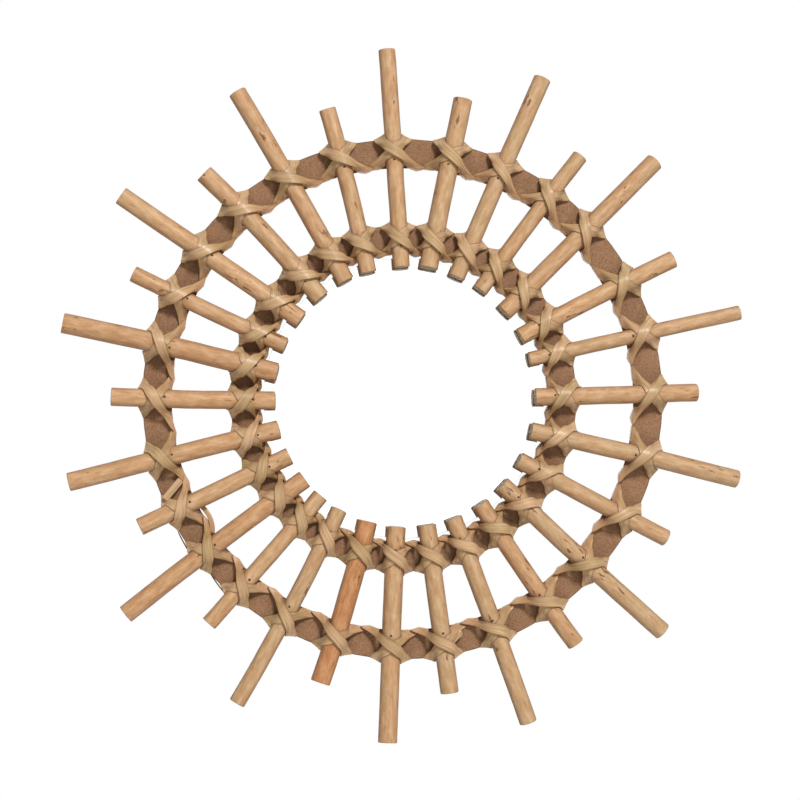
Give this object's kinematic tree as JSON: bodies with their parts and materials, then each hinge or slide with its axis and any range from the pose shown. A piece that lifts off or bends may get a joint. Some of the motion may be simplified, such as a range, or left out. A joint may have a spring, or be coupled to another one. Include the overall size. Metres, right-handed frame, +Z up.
{
  "type": "wall mirror",
  "caption": "Round wall mirror framed by a sunburst of long and short rattan sticks lashed with split peel to two flat rings.",
  "frame": {"origin": "the middle of the rings, on the plane of the wall, where the back board lies flat", "axes": "+Y goes into the wall and the glass faces -Y; +Z is up as it hangs; +X is to the right as seen from the room"},
  "size_m": [0.3715, 0.022, 0.3776],
  "materials": {
    "rattan_stick": "natural rattan cane, satin",
    "rattan_peel": "split rattan skin, slightly glossy",
    "fibreboard_ring": "brown fibreboard, matte",
    "silvered_glass": "silvered mirror glass with a ground edge",
    "back_hardboard": "hardboard, matte"
  },
  "bodies": {
    "root": {"stick_01": "rattan_stick", "stick_02": "rattan_stick", "stick_03": "rattan_stick", "stick_04": "rattan_stick", "stick_05": "rattan_stick", "stick_06": "rattan_stick", "stick_07": "rattan_stick", "stick_08": "rattan_stick", "stick_09": "rattan_stick", "stick_10": "rattan_stick", "stick_11": "rattan_stick", "stick_12": "rattan_stick", "stick_13": "rattan_stick", "stick_14": "rattan_stick", "stick_15": "rattan_stick", "stick_16": "rattan_stick", "stick_17": "rattan_stick", "stick_18": "rattan_stick", "stick_19": "rattan_stick", "stick_20": "rattan_stick", "stick_21": "rattan_stick", "stick_22": "rattan_stick", "stick_23": "rattan_stick", "stick_24": "rattan_stick", "stick_25": "rattan_stick", "stick_26": "rattan_stick", "stick_27": "rattan_stick", "stick_28": "rattan_stick", "inner_ring": "fibreboard_ring", "outer_ring": "fibreboard_ring", "inner_lashing_under": "rattan_peel", "inner_lashing_over": "rattan_peel", "outer_lashing_under": "rattan_peel", "outer_lashing_over": "rattan_peel", "mirror_glass": "silvered_glass", "back_board": "back_hardboard"}
  },
  "joints": []
}
